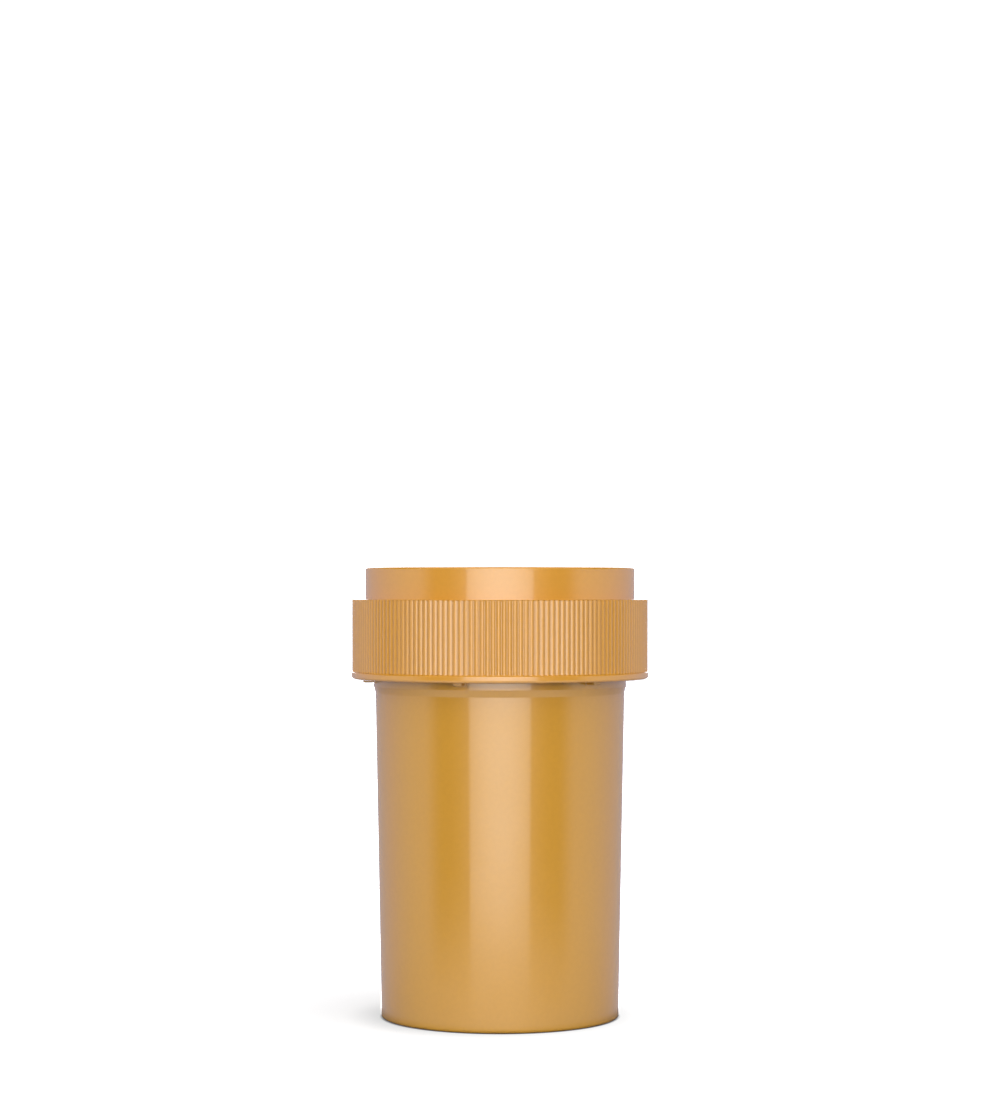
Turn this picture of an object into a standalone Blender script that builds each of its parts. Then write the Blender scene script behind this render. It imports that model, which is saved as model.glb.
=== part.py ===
"""A prescription vial with a reversible child-resistant cap, closed and standing on its base.

The vial is a tapered cup whose neck carries six bayonet lugs and a one-turn thread. The cap has a
ribbed skirt with six inner lugs on one side of its web and a threaded ring on the other side. A
dished spring diaphragm and a foam seal liner lie between the web and the vial's rim.

Metres, +Z up. The origin is the middle of the surface that the vial stands on. The cap is shown
pressed home with its lugs in line with the gaps between the vial's lugs: turning it clockwise
takes the lugs under the hooks, and letting go lets the diaphragm lift them into the notches.
"""

from math import cos, pi, radians, sin

import bmesh
import bpy

MM = 0.001

# Whole object
TOTAL_HEIGHT = 75.0 * MM
STEPS = 72  # sides of a turned shape
EDGE = 0.3 * MM  # small moulded edge radius
SHARP_ANGLE = 35  # degrees between faces that meet in a sharp edge
SECTOR_STEP = 3  # degrees between the points of a lug's arc
TOUCH_GAP = 0.3 * MM  # between pieces that rest on each other

# Vial body
BASE_RADIUS = 19.92 * MM
BODY_TOP_RADIUS = 20.95 * MM
BODY_TOP_Z = 54.1 * MM
NECK_RADIUS = 21.25 * MM
NECK_FOOT_Z = 55.2 * MM
NECK_TOP_Z = 60.6 * MM
FINISH_RADIUS = 20.75 * MM  # neck above the lugs, which carries the thread
FINISH_FOOT_Z = 61.2 * MM
RIM_Z = 66.2 * MM
MOUTH_RADIUS = 19.65 * MM
FLOOR_RADIUS = 18.85 * MM
FLOOR_Z = 2.0 * MM
FLOOR_CORNER = 1.2 * MM  # radius between the floor and the wall
FLOOR_CORNER_STEPS = 4
FOOT_INNER_RADIUS = 17.4 * MM  # the resting ring's inner edge
RECESS_DEPTH = 0.8 * MM

# Bayonet lugs of the vial, in degrees about the axis from the middle of a period
LUG_COUNT = 6
PERIOD = 360 / LUG_COUNT
FIRST_LUG_ANGLE = -107.1  # the middle of one stop leg
LEG_WIDTH = 3.4
NOTCH_WIDTH = 10.0
HOOK_WIDTH = 6.0
LUG_OUTER_RADIUS = 23.25 * MM
LUG_ROOT_RADIUS = 20.2 * MM
ARM_TOP_Z = 61.8 * MM
NOTCH_ROOF_Z = 60.0 * MM
HOOK_FOOT_Z = 59.0 * MM
LEG_FOOT_Z = 55.95 * MM

# Threads
THREAD_PITCH = 2.4 * MM
THREAD_TURNS = 1.05
THREAD_POINTS = 45
THREAD_END_SHARE = 0.35  # the ridge's size at its two ends, as a share of its full size
THREAD_RUN_OUT = 0.08  # the share of the thread's length over which each end fades
NECK_THREAD_RIDGE = 0.6 * MM
NECK_THREAD_TOP_Z = 65.2 * MM
RING_THREAD_RIDGE = 0.55 * MM
RING_THREAD_TOP_Z = 74.0 * MM

# Cap
RING_RADIUS = 22.64 * MM
RING_INNER_RADIUS = 21.6 * MM
WEB_TOP_Z = 70.0 * MM
WEB_FOOT_Z = 68.8 * MM
SKIRT_TOP_Z = 69.6 * MM
SKIRT_CORE_RADIUS = 24.3 * MM
SKIRT_INNER_RADIUS = 23.5 * MM
RIB_COUNT = 175
RIB_CREST_RADIUS = 24.7 * MM
RIB_VALLEY_RADIUS = 24.5 * MM
RIB_TOP_Z = 69.5 * MM
RIB_CREST_SHARES = (0.33, 0.67)  # where a rib's flat crest starts and ends within its pitch
FLANGE_RADIUS = 24.96 * MM
FLANGE_TOP_Z = 57.5 * MM
FLANGE_FOOT_Z = 56.45 * MM
CAP_LUG_WIDTH = 9.0
CAP_LUG_INNER_RADIUS = 21.7 * MM
CAP_LUG_FOOT_Z = 57.0 * MM
CAP_LUG_TOP_Z = 58.7 * MM
LOCK_TURN = 28.0  # from the rest pose to the notch, clockwise from above

# Inner pieces
LINER_RADIUS = 20.7 * MM
LINER_THICKNESS = 0.6 * MM
SPRING_RADIUS = 23.1 * MM
SPRING_WALL = 0.6 * MM
SPRING_DISH_RADIUS = 17.0 * MM
SPRING_SHOULDER_RADIUS = 21.2 * MM

AMBER = (0.45, 0.216, 0.0135)
CAP_AMBER = (0.51, 0.229, 0.0155)
MILKY = (0.82, 0.80, 0.74)
FOAM_WHITE = (0.90, 0.89, 0.86)


def remove_everything():
    for item in list(bpy.data.objects):
        bpy.data.objects.remove(item, do_unlink=True)


def new_collection(name):
    made = bpy.data.collections.new(name)
    bpy.context.scene.collection.children.link(made)
    return made


def plastic(name, color, roughness):
    made = bpy.data.materials.new(name)
    made.use_nodes = True
    shader = made.node_tree.nodes["Principled BSDF"]
    shader.inputs["Base Color"].default_value = (*color, 1)
    shader.inputs["Roughness"].default_value = roughness
    shader.inputs["Metallic"].default_value = 0
    return made


def turned(name, profile, collection):
    """Turns a profile of (radius, height) points, which runs down its outer side, about Z."""
    mesh = bpy.data.meshes.new(name)
    edges = [(i, i + 1) for i in range(len(profile) - 1)]
    mesh.from_pydata([(radius, 0, z) for radius, z in profile], edges, [])
    made = bpy.data.objects.new(name, mesh)
    collection.objects.link(made)
    screw = made.modifiers.new("turn", "SCREW")
    screw.axis = "Z"
    screw.steps = STEPS
    screw.render_steps = STEPS
    screw.use_merge_vertices = True
    screw.merge_threshold = 0.00001
    return made


def as_mesh(curve_object, collection):
    """Replaces a curve object by a closed mesh object of the same name and place."""
    name = curve_object.name
    graph = bpy.context.evaluated_depsgraph_get()
    mesh = bpy.data.meshes.new_from_object(curve_object.evaluated_get(graph))
    work = bmesh.new()
    work.from_mesh(mesh)
    bmesh.ops.remove_doubles(work, verts=work.verts, dist=0.000001)
    bmesh.ops.recalc_face_normals(work, faces=work.faces)
    work.to_mesh(mesh)
    work.free()
    place = curve_object.matrix_world.copy()
    bpy.data.objects.remove(curve_object, do_unlink=True)
    made = bpy.data.objects.new(name, mesh)
    made.matrix_world = place
    collection.objects.link(made)
    return made


def extruded(name, outlines, z_low, z_high, collection):
    """A flat outline, with any holes as further outlines, between two heights."""
    curve = bpy.data.curves.new(name, "CURVE")
    curve.dimensions = "2D"
    curve.fill_mode = "BOTH"
    curve.extrude = (z_high - z_low) / 2
    for outline in outlines:
        spline = curve.splines.new("POLY")
        spline.points.add(len(outline) - 1)
        for point, (x, y) in zip(spline.points, outline):
            point.co = (x, y, 0, 1)
        spline.use_cyclic_u = True
    made = bpy.data.objects.new(name, curve)
    made.location.z = (z_low + z_high) / 2
    collection.objects.link(made)
    bpy.context.view_layer.update()
    return as_mesh(made, collection)


def arc(radius, start, end, count):
    """Points on a circle about the axis, from one angle in degrees to another, both included."""
    turns = [radians(start + (end - start) * i / (count - 1)) for i in range(count)]
    return [(radius * cos(turn), radius * sin(turn)) for turn in turns]


def ring_sector(name, radii, angles, heights, collection):
    """A block bounded by two radii, two angles in degrees and two heights."""
    count = max(3, round(abs(angles[1] - angles[0]) / SECTOR_STEP) + 1)
    outline = arc(radii[1], angles[0], angles[1], count) + arc(radii[0], angles[1], angles[0], count)
    return extruded(name, [outline], heights[0], heights[1], collection)


def helix_ridge(name, radius, top_z, ridge, collection):
    """A round thread ridge of one turn whose two ends run out to nothing."""
    curve = bpy.data.curves.new(name, "CURVE")
    curve.dimensions = "3D"
    curve.bevel_depth = ridge
    curve.bevel_resolution = 1
    curve.use_fill_caps = True
    spline = curve.splines.new("POLY")
    spline.points.add(THREAD_POINTS - 1)
    for i, point in enumerate(spline.points):
        along = i / (THREAD_POINTS - 1)
        turn = 2 * pi * THREAD_TURNS * along
        z = top_z - THREAD_PITCH * THREAD_TURNS * (1 - along)
        point.co = (radius * cos(turn), radius * sin(turn), z, 1)
        full = min(along, 1 - along) / THREAD_RUN_OUT
        point.radius = min(1, THREAD_END_SHARE + (1 - THREAD_END_SHARE) * full)
    made = bpy.data.objects.new(name, curve)
    collection.objects.link(made)
    bpy.context.view_layer.update()
    return as_mesh(made, collection)


def add_all(target, operands):
    """Joins every object of a collection to one object."""
    union = target.modifiers.new("join", "BOOLEAN")
    union.operation = "UNION"
    union.solver = "EXACT"
    union.operand_type = "COLLECTION"
    union.collection = operands


def hide_helpers(collection):
    for item in collection.objects:
        item.hide_render = True
        item.display_type = "WIRE"


def shade(item):
    item.data.shade_smooth()
    item.data.set_sharp_from_angle(angle=radians(SHARP_ANGLE))


def vial_profile():
    turns = [radians(90 * i / FLOOR_CORNER_STEPS) for i in range(FLOOR_CORNER_STEPS + 1)]
    inner_corner = [
        (FLOOR_RADIUS - FLOOR_CORNER * (1 - sin(turn)), FLOOR_Z + FLOOR_CORNER * (1 - cos(turn)))
        for turn in turns
    ]
    return [
        (0, FLOOR_Z),
        *inner_corner,
        (MOUTH_RADIUS, RIM_Z - EDGE),
        (MOUTH_RADIUS + EDGE, RIM_Z),
        (FINISH_RADIUS - EDGE, RIM_Z),
        (FINISH_RADIUS, RIM_Z - EDGE),
        (FINISH_RADIUS, FINISH_FOOT_Z),
        (NECK_RADIUS, NECK_TOP_Z),
        (NECK_RADIUS, NECK_FOOT_Z),
        (BODY_TOP_RADIUS, BODY_TOP_Z),
        (BASE_RADIUS, EDGE),
        (BASE_RADIUS - EDGE, 0),
        (FOOT_INNER_RADIUS, 0),
        (FOOT_INNER_RADIUS - RECESS_DEPTH, RECESS_DEPTH),
        (0, RECESS_DEPTH),
    ]


def make_vial(parts, helpers):
    for n in range(LUG_COUNT):
        leg_start = FIRST_LUG_ANGLE + PERIOD * n - LEG_WIDTH / 2
        leg_end = leg_start + LEG_WIDTH
        hook_start = leg_end + NOTCH_WIDTH
        hook_end = hook_start + HOOK_WIDTH
        radii = (LUG_ROOT_RADIUS, LUG_OUTER_RADIUS)
        ring_sector(f"lug_arm_{n}", radii, (leg_start, hook_end), (NOTCH_ROOF_Z, ARM_TOP_Z), helpers)
        ring_sector(
            f"stop_leg_{n}", radii, (leg_start, leg_end), (LEG_FOOT_Z, NOTCH_ROOF_Z + EDGE), helpers
        )
        ring_sector(
            f"hook_{n}", radii, (hook_start, hook_end), (HOOK_FOOT_Z, NOTCH_ROOF_Z + EDGE), helpers
        )
    helix_ridge("neck_thread", FINISH_RADIUS, NECK_THREAD_TOP_Z, NECK_THREAD_RIDGE, helpers)
    hide_helpers(helpers)
    vial = turned("vial", vial_profile(), parts)
    vial.data.materials.append(plastic("vial_amber", AMBER, 0.28))
    add_all(vial, helpers)
    shade(vial)
    return vial


def cap_profile():
    return [
        (0, WEB_TOP_Z),
        (RING_INNER_RADIUS - EDGE, WEB_TOP_Z),
        (RING_INNER_RADIUS, WEB_TOP_Z + EDGE),
        (RING_INNER_RADIUS, TOTAL_HEIGHT - EDGE),
        (RING_INNER_RADIUS + EDGE, TOTAL_HEIGHT),
        (RING_RADIUS - EDGE, TOTAL_HEIGHT),
        (RING_RADIUS, TOTAL_HEIGHT - EDGE),
        (RING_RADIUS, SKIRT_TOP_Z + EDGE),
        (RING_RADIUS + EDGE, SKIRT_TOP_Z),
        (SKIRT_CORE_RADIUS, SKIRT_TOP_Z),
        (SKIRT_CORE_RADIUS, FLANGE_TOP_Z),
        (FLANGE_RADIUS - EDGE, FLANGE_TOP_Z),
        (FLANGE_RADIUS, FLANGE_TOP_Z - EDGE),
        (FLANGE_RADIUS, FLANGE_FOOT_Z + EDGE),
        (FLANGE_RADIUS - EDGE, FLANGE_FOOT_Z),
        (SKIRT_INNER_RADIUS + EDGE, FLANGE_FOOT_Z),
        (SKIRT_INNER_RADIUS, FLANGE_FOOT_Z + EDGE),
        (SKIRT_INNER_RADIUS, WEB_FOOT_Z - EDGE),
        (SKIRT_INNER_RADIUS - EDGE, WEB_FOOT_Z),
        (0, WEB_FOOT_Z),
    ]


def rib_outline():
    """The skirt's scalloped outline: a groove point and two crest points for each rib."""
    crest_start, crest_end = RIB_CREST_SHARES
    corners = ((0, RIB_VALLEY_RADIUS), (crest_start, RIB_CREST_RADIUS), (crest_end, RIB_CREST_RADIUS))
    outline = []
    for n in range(RIB_COUNT):
        for share, radius in corners:
            turn = 2 * pi * (n + share) / RIB_COUNT
            outline.append((radius * cos(turn), radius * sin(turn)))
    return outline


def make_cap(parts, helpers):
    band_bore = arc((SKIRT_CORE_RADIUS + SKIRT_INNER_RADIUS) / 2, 0, 360 - 360 / STEPS, STEPS)
    extruded("rib_band", [rib_outline(), band_bore], FLANGE_TOP_Z - EDGE, RIB_TOP_Z, helpers)
    locked_middle = FIRST_LUG_ANGLE + (LEG_WIDTH + NOTCH_WIDTH) / 2
    for n in range(LUG_COUNT):
        middle = locked_middle + LOCK_TURN + PERIOD * n
        ring_sector(
            f"cap_lug_{n}",
            (CAP_LUG_INNER_RADIUS, (SKIRT_CORE_RADIUS + SKIRT_INNER_RADIUS) / 2),
            (middle - CAP_LUG_WIDTH / 2, middle + CAP_LUG_WIDTH / 2),
            (CAP_LUG_FOOT_Z, CAP_LUG_TOP_Z),
            helpers,
        )
    helix_ridge("ring_thread", RING_INNER_RADIUS, RING_THREAD_TOP_Z, RING_THREAD_RIDGE, helpers)
    hide_helpers(helpers)
    cap = turned("cap", cap_profile(), parts)
    cap.data.materials.append(plastic("cap_amber", CAP_AMBER, 0.32))
    add_all(cap, helpers)
    shade(cap)
    return cap


def make_spring_diaphragm(parts):
    """A dished disc: its flat middle presses on the liner and its outer lip bears on the web."""
    foot = RIM_Z + 2 * TOUCH_GAP + LINER_THICKNESS
    lip_top = WEB_FOOT_Z - TOUCH_GAP
    profile = [
        (0, foot + SPRING_WALL),
        (SPRING_DISH_RADIUS - EDGE, foot + SPRING_WALL),
        (SPRING_SHOULDER_RADIUS - EDGE, lip_top),
        (SPRING_RADIUS, lip_top),
        (SPRING_RADIUS, lip_top - SPRING_WALL),
        (SPRING_SHOULDER_RADIUS, lip_top - SPRING_WALL),
        (SPRING_DISH_RADIUS, foot),
        (0, foot),
    ]
    spring = turned("spring_diaphragm", profile, parts)
    spring.data.materials.append(plastic("diaphragm_milky", MILKY, 0.4))
    shade(spring)
    return spring


def make_seal_liner(parts):
    foot = RIM_Z + TOUCH_GAP
    top = foot + LINER_THICKNESS
    profile = [(0, top), (LINER_RADIUS, top), (LINER_RADIUS, foot), (0, foot)]
    liner = turned("seal_liner", profile, parts)
    liner.data.materials.append(plastic("liner_foam", FOAM_WHITE, 0.8))
    shade(liner)
    return liner


def main():
    remove_everything()
    parts = new_collection("prescription_vial")
    vial_helpers = new_collection("vial_helpers")
    cap_helpers = new_collection("cap_helpers")
    make_vial(parts, vial_helpers)
    make_cap(parts, cap_helpers)
    make_spring_diaphragm(parts)
    make_seal_liner(parts)


main()
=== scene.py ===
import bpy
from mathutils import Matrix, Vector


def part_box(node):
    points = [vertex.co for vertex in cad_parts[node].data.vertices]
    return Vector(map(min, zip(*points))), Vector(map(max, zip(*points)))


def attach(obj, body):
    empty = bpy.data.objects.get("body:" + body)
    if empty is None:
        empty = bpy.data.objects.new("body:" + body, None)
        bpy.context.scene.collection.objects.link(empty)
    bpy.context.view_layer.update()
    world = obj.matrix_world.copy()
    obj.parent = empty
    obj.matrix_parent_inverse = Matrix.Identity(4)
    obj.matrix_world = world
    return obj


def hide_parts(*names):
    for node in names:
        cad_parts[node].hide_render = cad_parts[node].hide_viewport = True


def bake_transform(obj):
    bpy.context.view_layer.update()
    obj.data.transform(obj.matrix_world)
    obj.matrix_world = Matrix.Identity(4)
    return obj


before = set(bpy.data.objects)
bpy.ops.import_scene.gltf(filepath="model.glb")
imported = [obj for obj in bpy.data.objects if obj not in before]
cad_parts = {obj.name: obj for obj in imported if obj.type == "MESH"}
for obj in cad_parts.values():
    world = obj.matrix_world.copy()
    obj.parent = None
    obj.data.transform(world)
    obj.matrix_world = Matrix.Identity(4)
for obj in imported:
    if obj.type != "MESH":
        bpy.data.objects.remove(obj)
"""The looks of a prescription vial with a reversible child-resistant cap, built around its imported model.

Every piece of the model is replaced by a finer one in the same place: the vial and the cap are turned
profiles with rounded edges, joined with their lugs, hooks and threads; the spring diaphragm and the foam
liner are turned too. Lengths are in millimetres until a mesh is made, and in metres in the scene.
"""

from math import atan2, cos, hypot, pi, radians, sin, tan

import bmesh
import bpy
import numpy as np
from mathutils import Vector

MM = 0.001

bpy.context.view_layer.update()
cap_low, cap_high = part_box("cap")
vial_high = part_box("vial")[1]

# Heights and radii that the imported model gives
TOP = cap_high[2] / MM
FLANGE_RADIUS = cap_high[0] / MM
FLANGE_FOOT = cap_low[2] / MM
RIM = vial_high[2] / MM

# Turned shapes
ARC_STEPS = 4
SMALL_FILLET = 0.25
SMALL_ARC_STEPS = 3
HOLD = 0.08
HOLD_LARGEST_SHARE = 0.2
ON_AXIS = 1e-6
VIAL_COLUMNS = 240
DISC_COLUMNS = 180
GATE_COLUMNS = 48
RIBS = 175
COLUMNS_PER_RIB = 8
SHARP_ANGLE = 40

# Vial
BASE_RADIUS = 19.92
BODY_TOP_RADIUS = 20.95
BODY_TOP = 54.1
NECK_RADIUS = 21.25
NECK_FOOT = 55.2
NECK_TOP = 60.6
FINISH_RADIUS = 20.75
FINISH_FOOT = 61.2
MOUTH_RADIUS = 19.65
FLOOR_RADIUS = 18.85
FLOOR = 2.0
FOOT_INNER_RADIUS = 17.4
RECESS = 0.8

# Gate mark in the vial's base: a dimple with a nub in it
DIMPLE_OUTER_RADIUS = 3.0
DIMPLE_INNER_RADIUS = 2.6
DIMPLE_DEPTH = 0.3
NUB_OUTER_RADIUS = 0.9
NUB_INNER_RADIUS = 0.8
NUB_DROP = 0.1

# Bayonet lugs, in degrees about the axis
LUGS = 6
PERIOD = 360 / LUGS
FIRST_LEG = -107.1
LEG_WIDTH = 3.8
NOTCH_WIDTH = 10.0
HOOK_WIDTH = 6.0
LUG_OUTER_RADIUS = 23.25
LUG_ROOT = 0.4
LUG_EDGE = 0.2
ARM_TOP = 61.8
NOTCH_ROOF = 60.0
HOOK_FOOT = 59.0
LEG_FOOT = 55.95
PAD_MARGIN = 0.6
PAD_DROP = 0.2
PAD_HEIGHT = 0.16
PAD_EDGE = 0.12
CAP_LUG_WIDTH = 9.0
CAP_LUG_INNER_RADIUS = 21.7
CAP_LUG_FOOT = 57.0
CAP_LUG_TOP = 58.7
CAP_LUG_EDGE = 0.16
LOCK_TURN = 28.0

# Threads
THREAD_PITCH = 2.4
THREAD_TURNS = 1.05
THREAD_STEPS = 150
THREAD_SECTION_STEPS = 8
THREAD_HEIGHT = 0.55
THREAD_HALF_WIDTH = 0.75
THREAD_ROOT = 0.35
THREAD_ROUNDNESS = 0.8
THREAD_RUN_OUT = 0.07
THREAD_TIP = 0.15
NECK_THREAD_TOP = 65.2
RING_THREAD_TOP = 74.0

# Cap
RING_RADIUS = 22.64
RING_INNER_RADIUS = 21.6
WEB_TOP = 70.0
WEB_FOOT = 68.8
SKIRT_TOP = 69.7
SKIRT_INNER_RADIUS = 23.5
FLANGE_TOP = 57.62
RIB_MEAN_RADIUS = 24.62
RIB_SWING = 0.085
RIB_FLATNESS = 0.07
RIB_FLANK = 0.03
RIB_FOOT = FLANGE_TOP + 0.25
RIB_FOOT_FADE = 0.12
RIB_TOP_FADE = 0.3
RIB_TOP_INNER_RADIUS = RIB_MEAN_RADIUS - 0.35
RIB_RADII = (RIB_MEAN_RADIUS - RIB_SWING, RIB_MEAN_RADIUS + RIB_SWING)

# Relief on the cap's web: a gate mark and the arrows around it
RELIEF_TOP = WEB_TOP + 0.25
RELIEF_FOOT = WEB_TOP - 0.3
GATE_RADIUS = 1.6
GATE_FOOT_RADIUS = GATE_RADIUS + 0.2
GATE_DIMPLE_RADIUS = 0.5
GATE_LIP_RADIUS = 0.7
GATE_DIMPLE = WEB_TOP + 0.05
ARROWS = 3
ARROW_RADIUS = 15.2
ARROW_WIDTH = 1.0
ARROW_SWEEP = 62
ARROW_STEPS = 12
ARROW_HEAD = 9
ARROW_HEAD_WIDTH = 3.2
ARROW_EDGE = 0.08

# Spring diaphragm: a flat floor with a round groove, a cone and a flat edge
SPRING_WALL = 0.6
GROOVE_OUTER_RADII = (5.0, 6.4)
GROOVE_INNER_RADII = (5.4, 6.0)
GROOVE_DEPTH = 0.2
CONE_INNER_RADIUS = 16.7
CONE_OUTER_RADIUS = 20.9
CONE_SHIFT = 0.3

# Seal liner: the ring that the vial's rim prints into its underside
PRINT_DEPTH = 0.06
PRINT_MARGIN = 0.1
PRINT_SLOPE = 0.3


def rounded_path(corners):
    """A path through (radius, z, fillet) corners, each rounded by an arc of its fillet's radius.

    A long straight gets a point close to each end, which keeps its shading flat between the arcs.
    """
    path = []
    for i, (r, z, fillet) in enumerate(corners):
        here = Vector((r, z))
        if fillet == 0:
            path.append((r, z))
            continue
        before = (Vector(corners[i - 1][:2]) - here).normalized()
        after = (Vector(corners[i + 1][:2]) - here).normalized()
        half = before.angle(after) / 2
        reach = fillet / tan(half)
        centre = here + (before + after).normalized() * fillet / sin(half)
        first = here + before * reach - centre
        last = here + after * reach - centre
        start = atan2(first.y, first.x)
        sweep = (atan2(last.y, last.x) - start + pi) % (2 * pi) - pi
        steps = SMALL_ARC_STEPS if fillet < SMALL_FILLET else ARC_STEPS
        for step in range(steps + 1):
            turn = start + sweep * step / steps
            path.append((centre.x + fillet * cos(turn), centre.y + fillet * sin(turn)))
    held = path[:1]
    for (r0, z0), (r1, z1) in zip(path, path[1:]):
        share = HOLD / max(HOLD, hypot(r1 - r0, z1 - z0))
        if share < HOLD_LARGEST_SHARE and min(r0, r1) > 0:
            held += [(r0 + (r1 - r0) * part, z0 + (z1 - z0) * part) for part in (share, 1 - share)]
        held.append((r1, z1))
    return held


def scene_object(name, mesh):
    made = bpy.data.objects.new(name, mesh)
    bpy.context.scene.collection.objects.link(made)
    return made


def mesh_object(name, points, faces):
    """An object from points in millimetres."""
    mesh = bpy.data.meshes.new(name)
    mesh.from_pydata([tuple(float(v) * MM for v in p) for p in points], [], faces)
    mesh.validate()
    return scene_object(name, mesh)


def bmesh_object(name, work):
    """An object from a bmesh in metres."""
    mesh = bpy.data.meshes.new(name)
    work.to_mesh(mesh)
    work.free()
    return scene_object(name, mesh)


def raise_outline(work, corners, rise):
    """A closed prism: a face through the corners, drawn out along rise."""
    face = work.faces.new([work.verts.new(corner) for corner in corners])
    made = bmesh.ops.extrude_face_region(work, geom=[face])
    moved = [v for v in made["geom"] if isinstance(v, bmesh.types.BMVert)]
    bmesh.ops.translate(work, verts=moved, vec=rise)
    bmesh.ops.recalc_face_normals(work, faces=work.faces)


def revolve(name, path, columns, ripple=None):
    """Turns a path about Z. ripple(radius, z) is the height of the ribs there, one wave a rib."""
    turns = np.arange(columns) * 2 * pi / columns
    wave = np.cos(turns * RIBS)
    wave = wave - RIB_FLATNESS * np.cos(2 * turns * RIBS) - RIB_FLANK * np.cos(3 * turns * RIBS)
    points, rings, faces = [], [], []
    for r, z in path:
        if r < ON_AXIS:
            rings.append([len(points)])
            points.append((0, 0, z))
            continue
        swing = ripple(r, z) if ripple else 0
        radii = r + swing * wave
        rings.append(list(range(len(points), len(points) + columns)))
        points += list(zip(radii * np.cos(turns), radii * np.sin(turns), [z] * columns))
    for upper, lower in zip(rings, rings[1:]):
        for j in range(columns):
            k = (j + 1) % columns
            if len(upper) == 1:
                faces.append((upper[0], lower[j], lower[k]))
            elif len(lower) == 1:
                faces.append((upper[j], lower[0], upper[k]))
            else:
                faces.append((upper[j], lower[j], lower[k], upper[k]))
    return mesh_object(name, points, faces)


def bent_block(name, outline, inner, outer, edge):
    """A plate whose outline is (degrees, z), bent about the axis between two radii, edges rounded."""
    scale = radians(1) * outer
    work = bmesh.new()
    raise_outline(work, [(turn * scale, inner, z) for turn, z in outline], (0, outer - inner, 0))
    bmesh.ops.bevel(
        work, geom=work.edges[:], offset=edge, segments=3, profile=0.5, affect="EDGES", clamp_overlap=True
    )
    turns = [turn for turn, z in outline]
    for turn in np.arange(min(turns) + 1, max(turns), 1.0):
        bmesh.ops.bisect_plane(
            work,
            geom=work.verts[:] + work.edges[:] + work.faces[:],
            plane_co=(turn * scale, 0, 0),
            plane_no=(1, 0, 0),
        )
    for v in work.verts:
        turn = radians(v.co.x / scale)
        v.co = Vector((v.co.y * cos(turn), v.co.y * sin(turn), v.co.z)) * MM
    bmesh.ops.recalc_face_normals(work, faces=work.faces)
    return bmesh_object(name, work)


def thread_ridge(name, wall, side, top):
    """A rounded thread ridge on a wall of a given radius; side is 1 outside the wall and -1 inside."""
    points, faces = [], []
    for i in range(THREAD_STEPS + 1):
        along = i / THREAD_STEPS
        turn = 2 * pi * THREAD_TURNS * along
        z = top - THREAD_PITCH * THREAD_TURNS * (1 - along)
        ends = min(1, min(along, 1 - along) / THREAD_RUN_OUT)
        size = THREAD_TIP + (1 - THREAD_TIP) * sin(ends * pi / 2)
        half_width = THREAD_HALF_WIDTH * size
        section = [(-THREAD_ROOT, -half_width)]
        for s in range(THREAD_SECTION_STEPS + 1):
            lean = pi * s / THREAD_SECTION_STEPS
            section.append((THREAD_HEIGHT * size * sin(lean) ** THREAD_ROUNDNESS, -half_width * cos(lean)))
        section.append((-THREAD_ROOT, half_width))
        for out, up in section:
            r = wall + side * out
            points.append((r * cos(turn), r * sin(turn), z + up))
    count = THREAD_SECTION_STEPS + 3
    for i in range(THREAD_STEPS):
        for s in range(count):
            a, b = i * count + s, i * count + (s + 1) % count
            faces.append((a, b, b + count, a + count))
    faces.append(tuple(range(count)))
    faces.append(tuple(THREAD_STEPS * count + s for s in range(count))[::-1])
    made = mesh_object(name, points, faces)
    work = bmesh.new()
    work.from_mesh(made.data)
    bmesh.ops.recalc_face_normals(work, faces=work.faces)
    work.to_mesh(made.data)
    work.free()
    return made


def join_all(body, others):
    """Unites a body with other closed pieces that cut into it, into one clean surface."""
    group = bpy.data.collections.new(body.name + "_joined")
    for other in others:
        group.objects.link(other)
    union = body.modifiers.new("join", "BOOLEAN")
    union.operation = "UNION"
    union.solver = "MANIFOLD"
    union.operand_type = "COLLECTION"
    union.collection = group
    graph = bpy.context.evaluated_depsgraph_get()
    joined = bpy.data.meshes.new_from_object(body.evaluated_get(graph))
    body.modifiers.clear()
    body.data = joined
    for other in others:
        bpy.data.objects.remove(other)
    bpy.data.collections.remove(group)


def shade(piece):
    piece.data.shade_smooth()
    piece.data.set_sharp_from_angle(angle=radians(SHARP_ANGLE))


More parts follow.
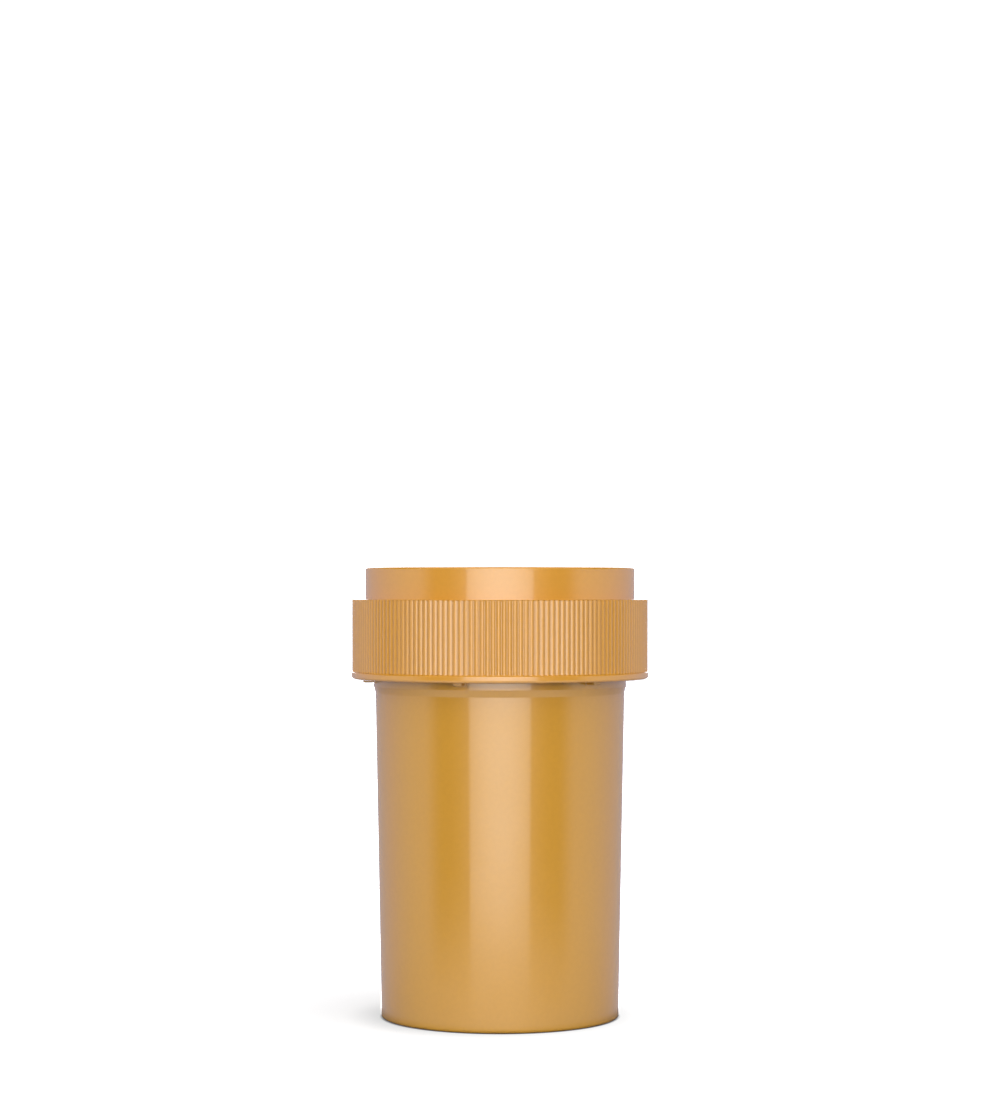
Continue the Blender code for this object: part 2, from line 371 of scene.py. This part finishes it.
def make_vial():
    path = rounded_path([
        (0, FLOOR, 0),
        (FLOOR_RADIUS, FLOOR, 1.2),
        (MOUTH_RADIUS, RIM, 0.35),
        (FINISH_RADIUS, RIM, 0.35),
        (FINISH_RADIUS, FINISH_FOOT, 0.3),
        (NECK_RADIUS, NECK_TOP, 0.3),
        (NECK_RADIUS, NECK_FOOT, 0.25),
        (BODY_TOP_RADIUS, BODY_TOP, 0.6),
        (BASE_RADIUS, 0, 0.45),
        (FOOT_INNER_RADIUS, 0, 0.2),
        (FOOT_INNER_RADIUS - RECESS, RECESS, 0.3),
        (DIMPLE_OUTER_RADIUS, RECESS, 0.15),
        (DIMPLE_INNER_RADIUS, RECESS + DIMPLE_DEPTH, 0.15),
        (NUB_OUTER_RADIUS, RECESS + DIMPLE_DEPTH, 0.1),
        (NUB_INNER_RADIUS, RECESS - NUB_DROP, 0.08),
        (0, RECESS - NUB_DROP, 0),
    ])
    vial = revolve("vial_shell", path, VIAL_COLUMNS)
    root = FINISH_RADIUS - LUG_ROOT
    lugs = []
    for n in range(LUGS):
        leg = FIRST_LEG + PERIOD * n - LEG_WIDTH / 2
        notch = leg + LEG_WIDTH
        hook = notch + NOTCH_WIDTH
        end = hook + HOOK_WIDTH
        outline = [
            (leg, LEG_FOOT),
            (notch, LEG_FOOT),
            (notch, NOTCH_ROOF),
            (hook, NOTCH_ROOF),
            (hook, HOOK_FOOT),
            (end, HOOK_FOOT),
            (end, ARM_TOP),
            (leg, ARM_TOP),
        ]
        lugs.append(bent_block(f"lug_{n}", outline, root, LUG_OUTER_RADIUS, LUG_EDGE))
        pad = [
            (leg - PAD_MARGIN, LEG_FOOT - PAD_DROP),
            (notch + PAD_MARGIN, LEG_FOOT - PAD_DROP),
            (notch + PAD_MARGIN, NOTCH_ROOF),
            (leg - PAD_MARGIN, NOTCH_ROOF),
        ]
        lugs.append(bent_block(f"pad_{n}", pad, root, NECK_RADIUS + PAD_HEIGHT, PAD_EDGE))
    thread = thread_ridge("neck_thread", FINISH_RADIUS, 1, NECK_THREAD_TOP)
    join_all(vial, [*lugs, thread])
    shade(vial)
    return vial


def rib_height(r, z):
    """The ribs' swing: whole on the skirt's wall, fading where it rounds into its top and its flange."""
    if r < SKIRT_INNER_RADIUS + 0.3 or z > SKIRT_TOP + 0.01 or z < FLANGE_TOP:
        return 0
    top_fade = min(1, max(0, (r - RIB_TOP_INNER_RADIUS) / RIB_TOP_FADE))
    foot_fade = min(1, max(0, (z - FLANGE_TOP) / RIB_FOOT_FADE))
    return RIB_SWING * min(top_fade, foot_fade)


def make_cap():
    path = rounded_path([
        (0, WEB_TOP, 0),
        (RING_INNER_RADIUS, WEB_TOP, 0.4),
        (RING_INNER_RADIUS, TOP, 0.3),
        (RING_RADIUS, TOP, 0.3),
        (RING_RADIUS, SKIRT_TOP, 0.05),
        (RIB_MEAN_RADIUS, SKIRT_TOP, 0.12),
        (RIB_MEAN_RADIUS, RIB_FOOT, 0),
        (RIB_MEAN_RADIUS, FLANGE_TOP, 0.14),
        (FLANGE_RADIUS, FLANGE_TOP, 0.16),
        (FLANGE_RADIUS, FLANGE_FOOT, 0.4),
        (SKIRT_INNER_RADIUS, FLANGE_FOOT, 0.3),
        (SKIRT_INNER_RADIUS, WEB_FOOT, 0.5),
        (0, WEB_FOOT, 0),
    ])
    cap = revolve("cap_shell", path, RIBS * COLUMNS_PER_RIB, rib_height)
    root = SKIRT_INNER_RADIUS + LUG_ROOT
    locked = FIRST_LEG + (LEG_WIDTH + NOTCH_WIDTH) / 2
    lugs = []
    for n in range(LUGS):
        middle = locked + LOCK_TURN + PERIOD * n
        left, right = middle - CAP_LUG_WIDTH / 2, middle + CAP_LUG_WIDTH / 2
        outline = [(left, CAP_LUG_FOOT), (right, CAP_LUG_FOOT), (right, CAP_LUG_TOP), (left, CAP_LUG_TOP)]
        lugs.append(bent_block(f"cap_lug_{n}", outline, CAP_LUG_INNER_RADIUS, root, CAP_LUG_EDGE))
    thread = thread_ridge("ring_thread", RING_INNER_RADIUS, -1, RING_THREAD_TOP)
    arrows = [raised_arrow(f"arrow_{n}", 360 / ARROWS * n) for n in range(ARROWS)]
    gate = revolve("gate_mark", rounded_path([
        (0, GATE_DIMPLE, 0),
        (GATE_DIMPLE_RADIUS, GATE_DIMPLE, 0.1),
        (GATE_LIP_RADIUS, RELIEF_TOP, 0.1),
        (GATE_RADIUS, RELIEF_TOP, 0.12),
        (GATE_FOOT_RADIUS, RELIEF_FOOT, 0),
        (0, RELIEF_FOOT, 0),
    ]), GATE_COLUMNS)
    join_all(cap, [*lugs, thread, gate, *arrows])
    shade(cap)
    return cap


def raised_arrow(name, middle):
    """A raised arrow on the web, curved about the axis, that points the way the cap opens."""
    start, end = middle - ARROW_SWEEP / 2, middle + ARROW_SWEEP / 2
    shaft = [start + (end - start) * i / ARROW_STEPS for i in range(ARROW_STEPS + 1)]
    half = ARROW_WIDTH / 2
    outline = [(ARROW_RADIUS + half, turn) for turn in shaft]
    outline += [(ARROW_RADIUS + ARROW_HEAD_WIDTH / 2, end), (ARROW_RADIUS, end + ARROW_HEAD)]
    outline += [(ARROW_RADIUS - ARROW_HEAD_WIDTH / 2, end)]
    outline += [(ARROW_RADIUS - half, turn) for turn in reversed(shaft)]
    work = bmesh.new()
    corners = [
        (r * cos(radians(turn)) * MM, r * sin(radians(turn)) * MM, RELIEF_FOOT * MM) for r, turn in outline
    ]
    raise_outline(work, corners, (0, 0, (RELIEF_TOP - RELIEF_FOOT) * MM))
    mid_height = (RELIEF_FOOT + RELIEF_TOP) / 2 * MM
    rim = [e for e in work.edges if all(v.co.z > mid_height for v in e.verts)]
    bmesh.ops.bevel(work, geom=rim, offset=ARROW_EDGE * MM, segments=2, profile=0.5, affect="EDGES")
    return bmesh_object(name, work)


def make_diaphragm():
    low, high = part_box("spring_diaphragm")
    foot, top, edge = low[2] / MM, high[2] / MM, high[0] / MM
    floor = foot + SPRING_WALL
    path = rounded_path([
        (0, floor, 0),
        (GROOVE_OUTER_RADII[0], floor, 0.1),
        (GROOVE_INNER_RADII[0], floor - GROOVE_DEPTH, 0.1),
        (GROOVE_INNER_RADII[1], floor - GROOVE_DEPTH, 0.1),
        (GROOVE_OUTER_RADII[1], floor, 0.1),
        (CONE_INNER_RADIUS, floor, 0.6),
        (CONE_OUTER_RADIUS, top, 0.6),
        (edge, top, 0.25),
        (edge, top - SPRING_WALL, 0.25),
        (CONE_OUTER_RADIUS + CONE_SHIFT, top - SPRING_WALL, 0.6),
        (CONE_INNER_RADIUS + CONE_SHIFT, foot, 0.6),
        (0, foot, 0),
    ])
    diaphragm = revolve("spring_diaphragm_disc", path, DISC_COLUMNS)
    shade(diaphragm)
    return diaphragm


def make_liner():
    low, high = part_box("seal_liner")
    foot, top, edge = low[2] / MM, high[2] / MM, high[0] / MM
    path = rounded_path([
        (0, top, 0),
        (edge, top, 0.12),
        (edge, foot, 0.12),
        (FINISH_RADIUS - PRINT_MARGIN, foot, 0.05),
        (FINISH_RADIUS - PRINT_SLOPE, foot + PRINT_DEPTH, 0.05),
        (MOUTH_RADIUS + PRINT_MARGIN, foot + PRINT_DEPTH, 0.05),
        (MOUTH_RADIUS - PRINT_MARGIN, foot, 0.05),
        (0, foot, 0),
    ])
    liner = revolve("seal_liner_disc", path, DISC_COLUMNS)
    shade(liner)
    return liner


# Plastics: noise scales are per metre, stretches along X, Y and Z
STREAK_SCALE, STREAK_STRETCH, STREAK_TWIST = 90.0, (1, 1, 0.22), 0.6
SPECK_SCALE, SPECK_DEPTH = 1500.0, 0.015
PATCH_SCALE, PATCH_DEPTH = 220.0, 0.02
SCUFF_SCALE, SCUFF_STRETCH, SCUFF_TWIST, SCUFF_DEPTH = 40.0, (1, 1, 22), 0.3, 0.05
GRAIN_SCALE, GRAIN_HEIGHT = 2600.0, 0.00002
PEEL_SCALE, PEEL_HEIGHT = 420.0, 0.00005
# Painted shade in the cap's rib valleys and a painted highlight on their crests, as factors on the colour
GROOVE_SHADE = 0.78
CREST_PAINTED_HIGHLIGHT = 1.05
GROOVE_STOPS = ((0.08, GROOVE_SHADE), (0.3, GROOVE_SHADE), (0.75, CREST_PAINTED_HIGHLIGHT), (0.92, CREST_PAINTED_HIGHLIGHT))
GROOVE_MARGIN = 0.1


def node(tree, kind, **values):
    """A new node, with attributes and unlinked inputs set by name, _ for a space."""
    made = tree.nodes.new(kind)
    for key, value in values.items():
        if hasattr(made, key):
            setattr(made, key, value)
        else:
            made.inputs[key.replace("_", " ")].default_value = value
    return made


def moulded_plastic(name, dark, light, rough, peel, ior=1.49, grooves=None):
    """A moulded plastic: flow marks in its colour, uneven gloss, fine scuffs and a slight surface texture.

    grooves is (valley radius, crest radius) of ribs whose valleys get painted shade and whose crests get a
    painted highlight.
    """
    made = bpy.data.materials.new(name)
    made.use_nodes = True
    tree = made.node_tree
    shader = tree.nodes["Principled BSDF"]
    place = node(tree, "ShaderNodeTexCoord")
    link = tree.links.new

    def noise(scale, detail, stretch=(1, 1, 1), twist=0.0):
        """A noise field over the surface, stretched by different amounts along X, Y and Z."""
        mapping = node(tree, "ShaderNodeMapping", Scale=stretch)
        link(place.outputs["Object"], mapping.inputs["Vector"])
        field = node(tree, "ShaderNodeTexNoise", Scale=scale, Detail=detail, Distortion=twist)
        link(mapping.outputs["Vector"], field.inputs["Vector"])
        return field.outputs["Fac"]

    def ranged(value, start, end, low, high):
        made = node(tree, "ShaderNodeMapRange", From_Min=start, From_Max=end, To_Min=low, To_Max=high)
        link(value, made.inputs["Value"])
        return made.outputs["Result"]

    # Colour: streaks where the melt flowed up the wall, and finer specks of pigment
    streaks = noise(STREAK_SCALE, 4.0, STREAK_STRETCH, STREAK_TWIST)
    color = node(tree, "ShaderNodeMix", data_type="RGBA")
    color.inputs["A"].default_value = (*dark, 1)
    color.inputs["B"].default_value = (*light, 1)
    link(streaks, color.inputs["Factor"])
    specks = ranged(noise(SPECK_SCALE, 1.0), 0.35, 0.65, 1 - SPECK_DEPTH, 1 + SPECK_DEPTH)
    tinted = node(tree, "ShaderNodeVectorMath", operation="SCALE")
    link(color.outputs["Result"], tinted.inputs[0])
    link(specks, tinted.inputs["Scale"])
    paint = tinted.outputs["Vector"]
    # Painted shade darkens the ribs' valleys and a painted highlight lightens their crests, by distance
    # from the axis
    if grooves:
        valley, crest = grooves
        flat = node(tree, "ShaderNodeVectorMath", operation="MULTIPLY")
        link(place.outputs["Object"], flat.inputs[0])
        flat.inputs[1].default_value = (1, 1, 0)
        reach = node(tree, "ShaderNodeVectorMath", operation="LENGTH")
        link(flat.outputs["Vector"], reach.inputs[0])
        share = ranged(
            reach.outputs["Value"], (valley - GROOVE_MARGIN) * MM, (crest + GROOVE_MARGIN) * MM, 0.0, 1.0
        )
        ramp = node(tree, "ShaderNodeValToRGB")
        stops = ramp.color_ramp.elements
        stops[0].color = (1, 1, 1, 1)
        for at, level in GROOVE_STOPS:
            stops.new(at).color = (level, level, level, 1)
        link(share, ramp.inputs["Fac"])
        painted_rib_light = node(tree, "ShaderNodeVectorMath", operation="MULTIPLY")
        link(paint, painted_rib_light.inputs[0])
        link(ramp.outputs["Color"], painted_rib_light.inputs[1])
        paint = painted_rib_light.outputs["Vector"]
    link(paint, shader.inputs["Base Color"])

    # Gloss: cloudy patches, and sparse level scuffs from handling
    patches = ranged(noise(PATCH_SCALE, 4.0), 0.3, 0.7, rough - PATCH_DEPTH, rough + PATCH_DEPTH)
    scuffs = ranged(noise(SCUFF_SCALE, 2.0, SCUFF_STRETCH, SCUFF_TWIST), 0.66, 0.74, 0.0, SCUFF_DEPTH)
    gloss = node(tree, "ShaderNodeMath", operation="ADD")
    link(patches, gloss.inputs[0])
    link(scuffs, gloss.inputs[1])
    link(gloss.outputs["Value"], shader.inputs["Roughness"])

    # Relief: orange peel with a fine grain in it
    grain = node(tree, "ShaderNodeBump", Strength=peel, Distance=GRAIN_HEIGHT)
    link(noise(GRAIN_SCALE, 2.0), grain.inputs["Height"])
    wave = node(tree, "ShaderNodeBump", Strength=peel, Distance=PEEL_HEIGHT)
    link(noise(PEEL_SCALE, 1.0), wave.inputs["Height"])
    link(grain.outputs["Normal"], wave.inputs["Normal"])
    link(wave.outputs["Normal"], shader.inputs["Normal"])
    shader.inputs["IOR"].default_value = ior
    return made


def dress(piece, material, body, cad_node):
    piece.data.materials.clear()
    piece.data.materials.append(material)
    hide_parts(cad_node)
    if body:
        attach(piece, body)


# Studio light: how bright each thing around the vial is, as a multiple of display white
SOFTBOX = 6.45
SPILL = 0.95
ROOM = 0.62
SIDE_PANEL = 1.33
TABLE_FRONT = 2.6
TABLE_BACK = 0.45
UPPER_MIDDLE = 2.0
UPPER_FRONT = 1.15
UPPER_BACK = 0.7
CEILING = 0.6
BACK_BOX = 5.0
BACKDROP = 1.1
SOFTBOX_LOW_DIMMING = 0.1
SOFTBOX_HIGH_GAIN = 0.25
WHITE_LIGHT = (1.0, 1.0, 1.0, 1.0)
COOL_LIGHT = (0.93, 0.895, 1.06, 1.0)

# Where they are, in degrees: azimuths from straight in front, and elevations. A pair runs from none to all
SOFTBOX_EDGE = 28.0
SOFTBOX_EDGE_BLUR = 0.7
SOFTBOX_TOP = 21.0
SOFTBOX_TOP_BLUR = 2
SOFTBOX_FOOT = -9.25
SOFTBOX_FOOT_BLUR = 0.8
SOFTBOX_FALL_OFF = 42.0
SOFTBOX_LOW = (-9.5, -4.0)
SOFTBOX_HIGH = (1.0, 9.0)
SPILL_REACH = (50.0, 29.0)
PANEL_START = (54.0, 75.0)
PANEL_END = (172.0, 78.0)
LOWER_ROOM = (16.0, 10.0)
UPPER_ROOM = (10.0, 16.0)
UPPER_BACK_START = (115.0, 130.0)
UPPER_FRONT_END = (88.0, 74.0)
UPPER_MIDDLE_END = (32.0, 24.0)
CEILING_START = (66.0, 74.0)
TABLE_REACH = (185.0, 5.0)
BACK_BOX_EDGE = 167.0
BACK_BOX_EDGE_BLUR = 2
BACK_BOX_TOP = 40.0
BACK_BOX_TOP_BLUR = 3
COOL_START = (84.0, 128.0)
COOL_END = (170.0, 162.0)

# Table, in metres but for the contact shade's radii, and the lamp that lights it
TABLE_HALF = 3000
FLOOR_DEPTH = 0.00005
FLOOR_ALBEDO = 0.25
FLOOR_BOUNCE = 0.14
FLOOR_GLOW = 0.59
CONTACT_LINE = 0.0004
CONTACT_DEPTH = 0.00003
CONTACT_SHADE = 0.25
CONTACT_RADIUS = 40.0
CONTACT_START_RADIUS = BASE_RADIUS - 0.6
CONTACT_END_RADIUS = BASE_RADIUS + 7.0
LAMP_POWER = 4.6
LAMP_ANGLE = 50
LAMP_SIDE = (0.42, -0.2, 1.6)

# Camera, in metres
CAMERA_PLACE = (0, -0.4777, 0.07275)
CAMERA_LENS = 93.3
CAMERA_SHIFT = 0.0282


def make_world():
    """Soft studio light: a tall softbox in front, a dim gap, a side panel each side and a pale table.

    A second softbox stands straight behind, and lights the vial's back.
    """
    world = bpy.data.worlds.new("studio")
    bpy.context.scene.world = world
    world.use_nodes = True
    tree = world.node_tree
    link = tree.links.new
    tree.nodes.clear()
    output = node(tree, "ShaderNodeOutputWorld")
    way = node(tree, "ShaderNodeTexCoord")
    split = node(tree, "ShaderNodeSeparateXYZ")
    link(way.outputs["Generated"], split.inputs["Vector"])

    def math(operation, a, b=0.0):
        made = node(tree, "ShaderNodeMath", operation=operation)
        for socket, value in zip(made.inputs, (a, b)):
            if isinstance(value, (int, float)):
                socket.default_value = value
            else:
                link(value, socket)
        return made.outputs["Value"]

    def ramp(value, start, end, shape="SMOOTHSTEP"):
        made = node(tree, "ShaderNodeMapRange", interpolation_type=shape)
        link(value, made.inputs["Value"])
        made.inputs["From Min"].default_value = start
        made.inputs["From Max"].default_value = end
        return made.outputs["Result"]

    def beyond(value, edge, blur):
        """0 well short of an edge and 1 well past it."""
        return ramp(value, edge - blur, edge + blur)

    def within(value, edge, blur):
        return ramp(value, edge + blur, edge - blur)

    def swap(old, new, share):
        """One level in place of another, where share is 1."""
        kept = math("MULTIPLY", old, math("SUBTRACT", 1.0, share))
        return math("ADD", kept, math("MULTIPLY", new, share))

    front = math("MULTIPLY", split.outputs["Y"], -1.0)
    aside = math("ABSOLUTE", split.outputs["X"])
    azimuth = math("MULTIPLY", math("ARCTAN2", aside, front), 180 / pi)
    elevation = math("MULTIPLY", math("ARCSINE", split.outputs["Z"]), 180 / pi)
    above = beyond(elevation, SOFTBOX_TOP, SOFTBOX_TOP_BLUR)

    # The room: a dim gap, a panel that fades towards the back, and what is higher up
    panel = math("MULTIPLY", ramp(azimuth, *PANEL_START), ramp(azimuth, *PANEL_END))
    room = math("ADD", math("MULTIPLY", panel, SIDE_PANEL), ROOM)
    room = math("MULTIPLY", room, ramp(elevation, *LOWER_ROOM))
    back = math("MULTIPLY", ramp(azimuth, *UPPER_BACK_START), ramp(elevation, *UPPER_ROOM))
    room = swap(room, UPPER_BACK, back)
    room = swap(room, UPPER_FRONT, math("MULTIPLY", ramp(azimuth, *UPPER_FRONT_END), above))
    room = swap(room, UPPER_MIDDLE, math("MULTIPLY", ramp(azimuth, *UPPER_MIDDLE_END), above))
    room = swap(room, CEILING, ramp(elevation, *CEILING_START))
    # The softbox: brightest along its middle and high up, with some spill beside it
    spill = math("POWER", ramp(azimuth, *SPILL_REACH, "LINEAR"), 2.0)
    dome = math("SUBTRACT", 1.0, math("POWER", math("DIVIDE", azimuth, SOFTBOX_FALL_OFF), 2.0))
    lamp = swap(
        math("MULTIPLY", spill, SPILL),
        math("MULTIPLY", dome, SOFTBOX - ROOM),
        within(azimuth, SOFTBOX_EDGE, SOFTBOX_EDGE_BLUR),
    )
    lamp = math("MULTIPLY", lamp, within(elevation, SOFTBOX_TOP, SOFTBOX_TOP_BLUR))
    rise = math("MULTIPLY", ramp(elevation, *SOFTBOX_LOW), SOFTBOX_LOW_DIMMING)
    rise = math("ADD", rise, 1 - SOFTBOX_LOW_DIMMING)
    rise = math("ADD", rise, math("MULTIPLY", ramp(elevation, *SOFTBOX_HIGH), SOFTBOX_HIGH_GAIN))
    lamp = math("MULTIPLY", lamp, rise)
    level = math("ADD", room, lamp)
    # The softbox behind the vial
    behind = beyond(azimuth, BACK_BOX_EDGE, BACK_BOX_EDGE_BLUR)
    behind = math("MULTIPLY", behind, within(elevation, BACK_BOX_TOP, BACK_BOX_TOP_BLUR))
    level = math("ADD", level, math("MULTIPLY", behind, BACK_BOX))
    # The table below, as the plastic reflects it
    table = math("MULTIPLY", ramp(azimuth, *TABLE_REACH), TABLE_FRONT - TABLE_BACK)
    table = math("ADD", table, TABLE_BACK)
    level = swap(level, table, within(elevation, SOFTBOX_FOOT, SOFTBOX_FOOT_BLUR))

    studio = node(tree, "ShaderNodeBackground")
    link(level, studio.inputs["Strength"])
    # What comes from the walls at the sides and the back is a little cooler and pinker
    tint = node(tree, "ShaderNodeMix", data_type="RGBA")
    link(math("MULTIPLY", ramp(azimuth, *COOL_START), ramp(azimuth, *COOL_END)), tint.inputs["Factor"])
    tint.inputs["A"].default_value, tint.inputs["B"].default_value = WHITE_LIGHT, COOL_LIGHT
    link(tint.outputs["Result"], studio.inputs["Color"])
    # The camera sees a white backdrop in place of the studio
    white = node(tree, "ShaderNodeBackground", Strength=BACKDROP, Color=WHITE_LIGHT)
    ray = node(tree, "ShaderNodeLightPath")
    mixed = node(tree, "ShaderNodeMixShader")
    link(ray.outputs["Is Camera Ray"], mixed.inputs["Fac"])
    link(studio.outputs["Background"], mixed.inputs[1])
    link(white.outputs["Background"], mixed.inputs[2])
    link(mixed.outputs["Shader"], output.inputs["Surface"])


def level_sheet(name, half, depth):
    """A level square just below the vial's foot, with an empty material: its object and node tree."""
    corners = [(-half, -half, 0), (half, -half, 0), (half, half, 0), (-half, half, 0)]
    sheet = mesh_object(name, corners, [(0, 1, 2, 3)])
    sheet.location.z = -depth
    material = bpy.data.materials.new(name)
    material.use_nodes = True
    material.node_tree.nodes.clear()
    sheet.data.materials.append(material)
    return sheet, material.node_tree


def shade_contact():
    """A clear sheet on the table that dims what the vial's foot sees and reflects of it close by: painted
    shade standing in for the table's shadow round the foot.
    """
    sheet, tree = level_sheet("contact_shade", CONTACT_RADIUS, CONTACT_DEPTH)
    sheet.visible_camera = False
    sheet.visible_shadow = False
    place = node(tree, "ShaderNodeTexCoord")
    reach = node(tree, "ShaderNodeVectorMath", operation="LENGTH")
    tree.links.new(place.outputs["Object"], reach.inputs[0])
    share = node(
        tree,
        "ShaderNodeMapRange",
        interpolation_type="SMOOTHSTEP",
        From_Min=CONTACT_START_RADIUS * MM,
        From_Max=CONTACT_END_RADIUS * MM,
        To_Min=CONTACT_SHADE,
        To_Max=1.0,
    )
    tree.links.new(reach.outputs["Value"], share.inputs["Value"])
    # Painted shade: the sheet dims bounce and reflections more the closer they are to the foot
    clear = node(tree, "ShaderNodeBsdfTransparent")
    tree.links.new(share.outputs["Result"], clear.inputs["Color"])
    output = node(tree, "ShaderNodeOutputMaterial")
    tree.links.new(clear.outputs["BSDF"], output.inputs["Surface"])


def make_floor():
    """A pale table: white to the camera but for a thin line of painted shade under the vial and a soft
    shadow.
    """
    floor, tree = level_sheet("floor", TABLE_HALF, FLOOR_DEPTH)
    floor.visible_glossy = False
    link = tree.links.new
    matte = node(tree, "ShaderNodeBsdfDiffuse")
    painted_contact_shade = node(tree, "ShaderNodeAmbientOcclusion", samples=16, Distance=CONTACT_LINE)
    ray = node(tree, "ShaderNodeLightPath")
    albedo = node(tree, "ShaderNodeMapRange", To_Min=FLOOR_ALBEDO, To_Max=FLOOR_BOUNCE)
    link(ray.outputs["Is Diffuse Ray"], albedo.inputs["Value"])
    link(albedo.outputs["Result"], matte.inputs["Color"])
    # Painted shade: the glow that the camera sees is dimmed by occlusion close by, which draws a thin dark
    # line round the vial's foot
    seen = node(tree, "ShaderNodeMath", operation="MULTIPLY")
    link(painted_contact_shade.outputs["AO"], seen.inputs[0])
    link(ray.outputs["Is Camera Ray"], seen.inputs[1])
    strength = node(tree, "ShaderNodeMath", operation="MULTIPLY")
    link(seen.outputs["Value"], strength.inputs[0])
    strength.inputs[1].default_value = FLOOR_GLOW
    glow = node(tree, "ShaderNodeEmission")
    link(strength.outputs["Value"], glow.inputs["Strength"])
    both = node(tree, "ShaderNodeAddShader")
    link(matte.outputs["BSDF"], both.inputs[0])
    link(glow.outputs["Emission"], both.inputs[1])
    output = node(tree, "ShaderNodeOutputMaterial")
    link(both.outputs["Shader"], output.inputs["Surface"])

    shade_contact()

    # A soft lamp at the right lights the table alone, so that the shadow falls to the left
    light = bpy.data.lights.new("table_lamp", "SUN")
    light.energy = LAMP_POWER
    light.angle = radians(LAMP_ANGLE)
    lamp = scene_object("table_lamp", light)
    lamp.rotation_euler = Vector(LAMP_SIDE).to_track_quat("Z", "Y").to_euler()
    lit = bpy.data.collections.new("table_only")
    lit.objects.link(floor)
    lamp.light_linking.receiver_collection = lit


def make_camera():
    camera = bpy.data.cameras.new("camera")
    camera.lens = CAMERA_LENS
    camera.sensor_width = 36
    camera.shift_y = CAMERA_SHIFT
    camera.clip_start = 0.01
    camera.clip_end = 20
    made = scene_object("camera", camera)
    made.location = CAMERA_PLACE
    made.rotation_euler = (pi / 2, 0, 0)
    bpy.context.scene.camera = made


make_world()
make_floor()
make_camera()
bpy.context.scene.view_settings.view_transform = "Standard"

vial_amber = moulded_plastic("vial_amber", (0.44, 0.211, 0.0125), (0.46, 0.221, 0.0145), 0.1, 0.05)
cap_amber = moulded_plastic(
    "cap_amber", (0.50, 0.224, 0.0145), (0.52, 0.233, 0.0165), 0.1, 0.05, 1.535, grooves=RIB_RADII
)
milky = moulded_plastic("milky_polyethylene", (0.70, 0.69, 0.64), (0.74, 0.73, 0.68), 0.4, 0.3)
foam = moulded_plastic("liner_foam", (0.80, 0.79, 0.76), (0.86, 0.85, 0.82), 0.8, 1.0)

dress(make_vial(), vial_amber, "vial", "vial")
dress(make_cap(), cap_amber, "cap", "cap")
diaphragm = make_diaphragm()
dress(diaphragm, milky, None, "spring_diaphragm")
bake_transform(diaphragm)
dress(make_liner(), foam, "liner", "seal_liner")
